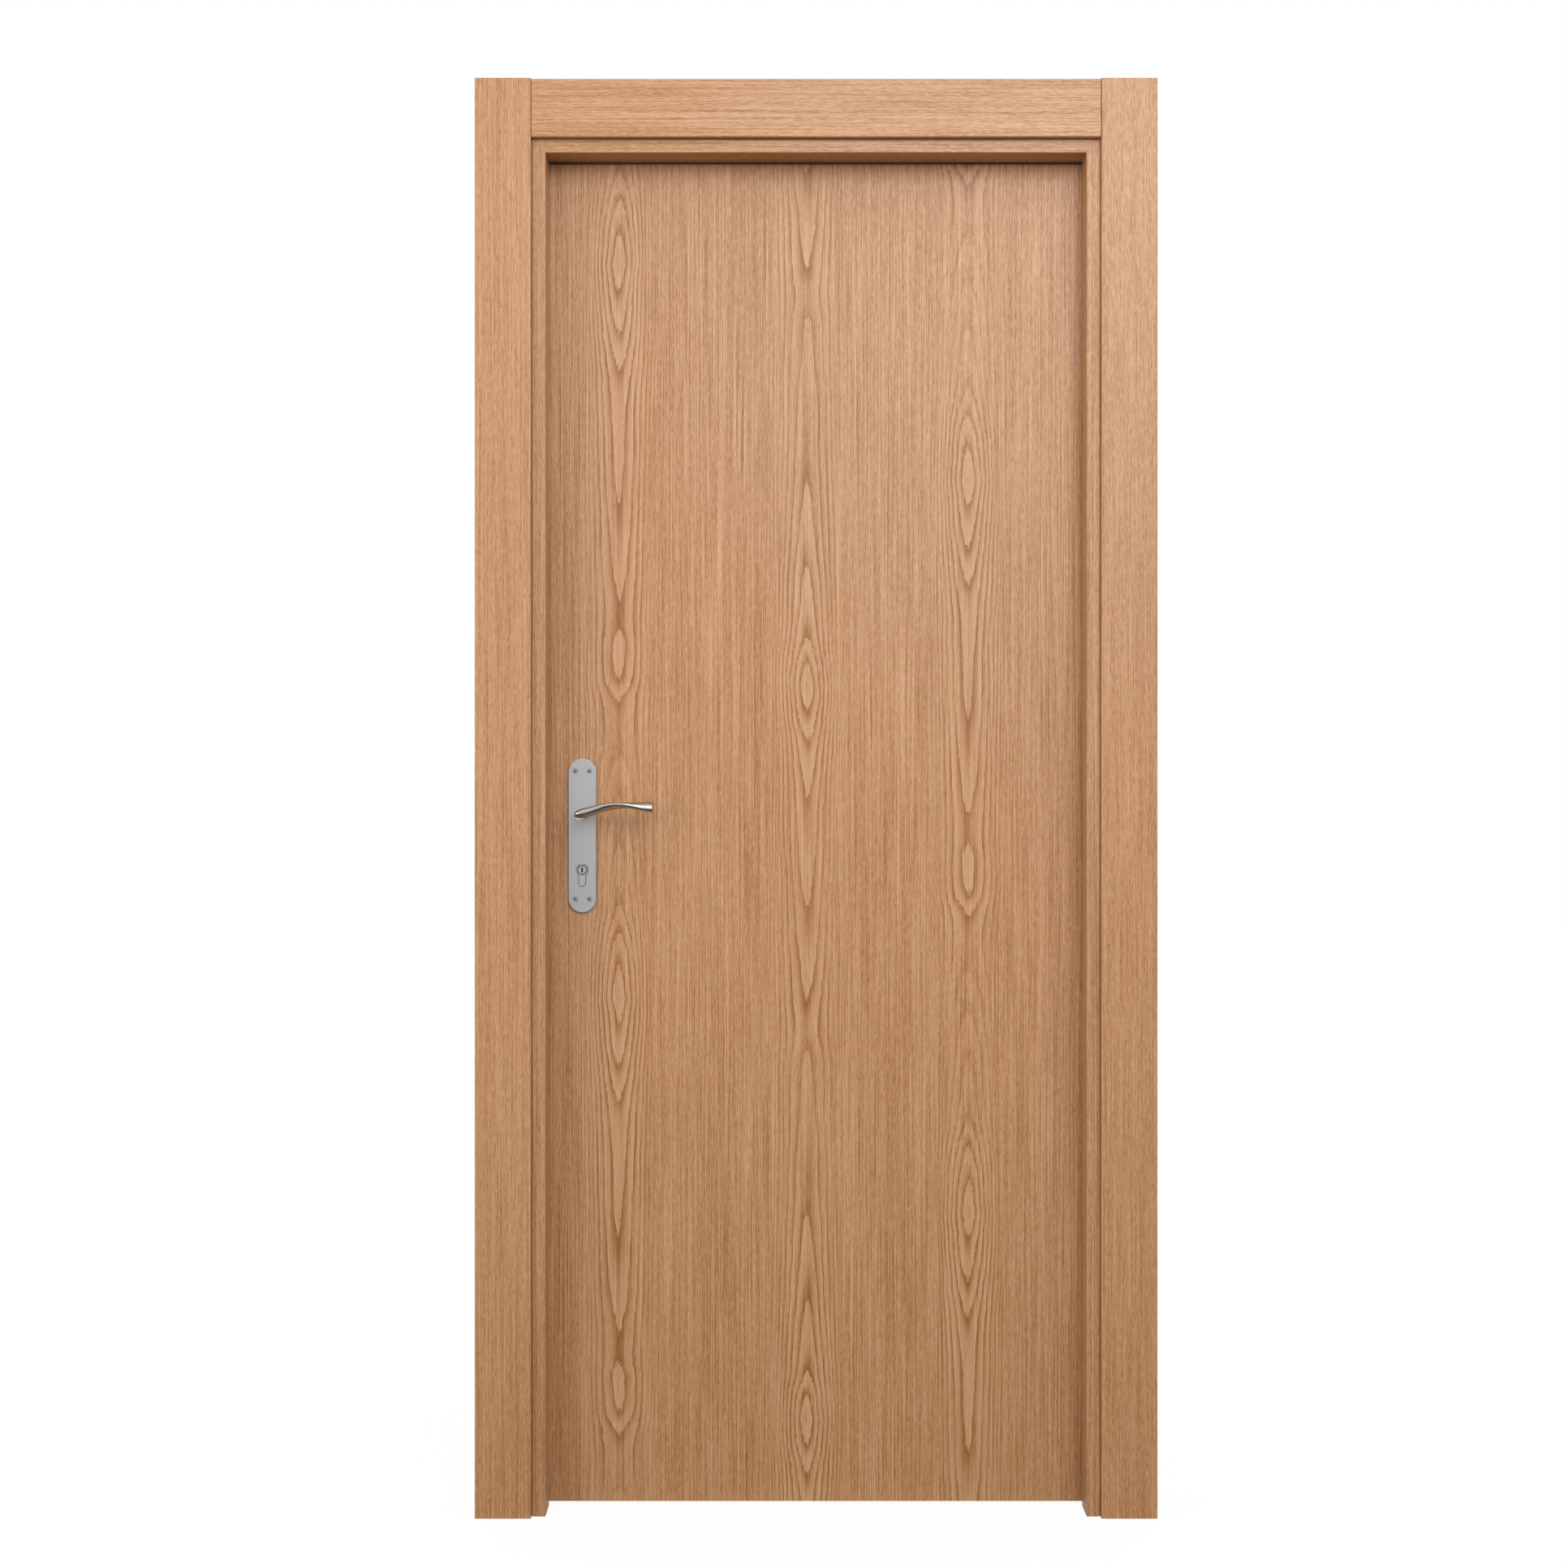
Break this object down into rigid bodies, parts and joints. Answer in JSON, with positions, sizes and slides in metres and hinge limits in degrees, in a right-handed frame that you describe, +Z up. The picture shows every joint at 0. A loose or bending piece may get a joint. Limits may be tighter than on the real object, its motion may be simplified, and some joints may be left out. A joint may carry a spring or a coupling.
{
  "type": "front door",
  "caption": "Flush oak-veneered front door in a rebated timber frame with flat architraves, lift-off hinges, a profile-cylinder lock and a curved lever on a long round-ended backplate.",
  "frame": {"origin": "on the hinge jamb's outer face, which is fixed to the wall, at floor level and midway through the frame's depth", "axes": "+X out of the hinge jamb's wall face, so the doorway lies to -X; +Y from outdoors to indoors, the way the leaf opens; +Z up"},
  "size_m": [1.024, 0.1614, 2.1421],
  "materials": {
    "oak_veneer": "satin lacquered oak veneer",
    "oak_frame": "satin lacquered oak",
    "core_wood": "raw pressed wood board",
    "seal_rubber": "matt black extruded rubber",
    "satin_aluminium": "satin anodised",
    "polished_nickel": "polished nickel plate",
    "nickel_brass": "satin nickel plate on brass",
    "satin_steel": "satin stainless steel"
  },
  "bodies": {
    "frame": {"hinge_jamb": "oak_frame", "lock_jamb": "oak_frame", "head_jamb": "oak_frame", "outer_hinge_architrave": "oak_frame", "outer_lock_architrave": "oak_frame", "outer_head_architrave": "oak_frame", "inner_hinge_architrave": "oak_frame", "inner_lock_architrave": "oak_frame", "inner_head_architrave": "oak_frame", "hinge_seal": "seal_rubber", "lock_seal": "seal_rubber", "head_seal": "seal_rubber", "strike_plate": "satin_steel", "bottom_hinge_frame_half": "satin_steel", "middle_hinge_frame_half": "satin_steel", "top_hinge_frame_half": "satin_steel"},
    "leaf": {"core_board": "core_wood", "bottom_rail": "core_wood", "top_rail": "core_wood", "outer_skin": "oak_veneer", "inner_skin": "oak_veneer", "hinge_lipping": "oak_frame", "lock_lipping": "oak_frame", "lock_case": "satin_steel", "forend": "satin_steel", "latch_bolt": "satin_steel", "dead_bolt": "satin_steel", "cylinder_body": "nickel_brass", "outer_plug": "nickel_brass", "inner_plug": "nickel_brass", "outer_plate": "satin_aluminium", "inner_plate": "satin_aluminium", "bottom_hinge_leaf_half": "satin_steel", "middle_hinge_leaf_half": "satin_steel", "top_hinge_leaf_half": "satin_steel"},
    "levers": {"outer_lever": "polished_nickel", "inner_lever": "polished_nickel", "spindle": "satin_steel"}
  },
  "joints": [
    {"name": "door_swing", "type": "hinge", "parent": "frame", "child": "leaf", "pos_m": [-0.0275, 0.0555, 1.02], "axis": [0, 0, -1], "range_deg": [0, 170]},
    {"name": "lever_turn", "type": "hinge", "parent": "leaf", "child": "levers", "pos_m": [-0.795, 0.0275, 1.0445], "axis": [0, 1, 0], "range_deg": [0, 40], "stiffness_Nm_per_rad": 1.5, "springref_deg": -28.65}
  ]
}
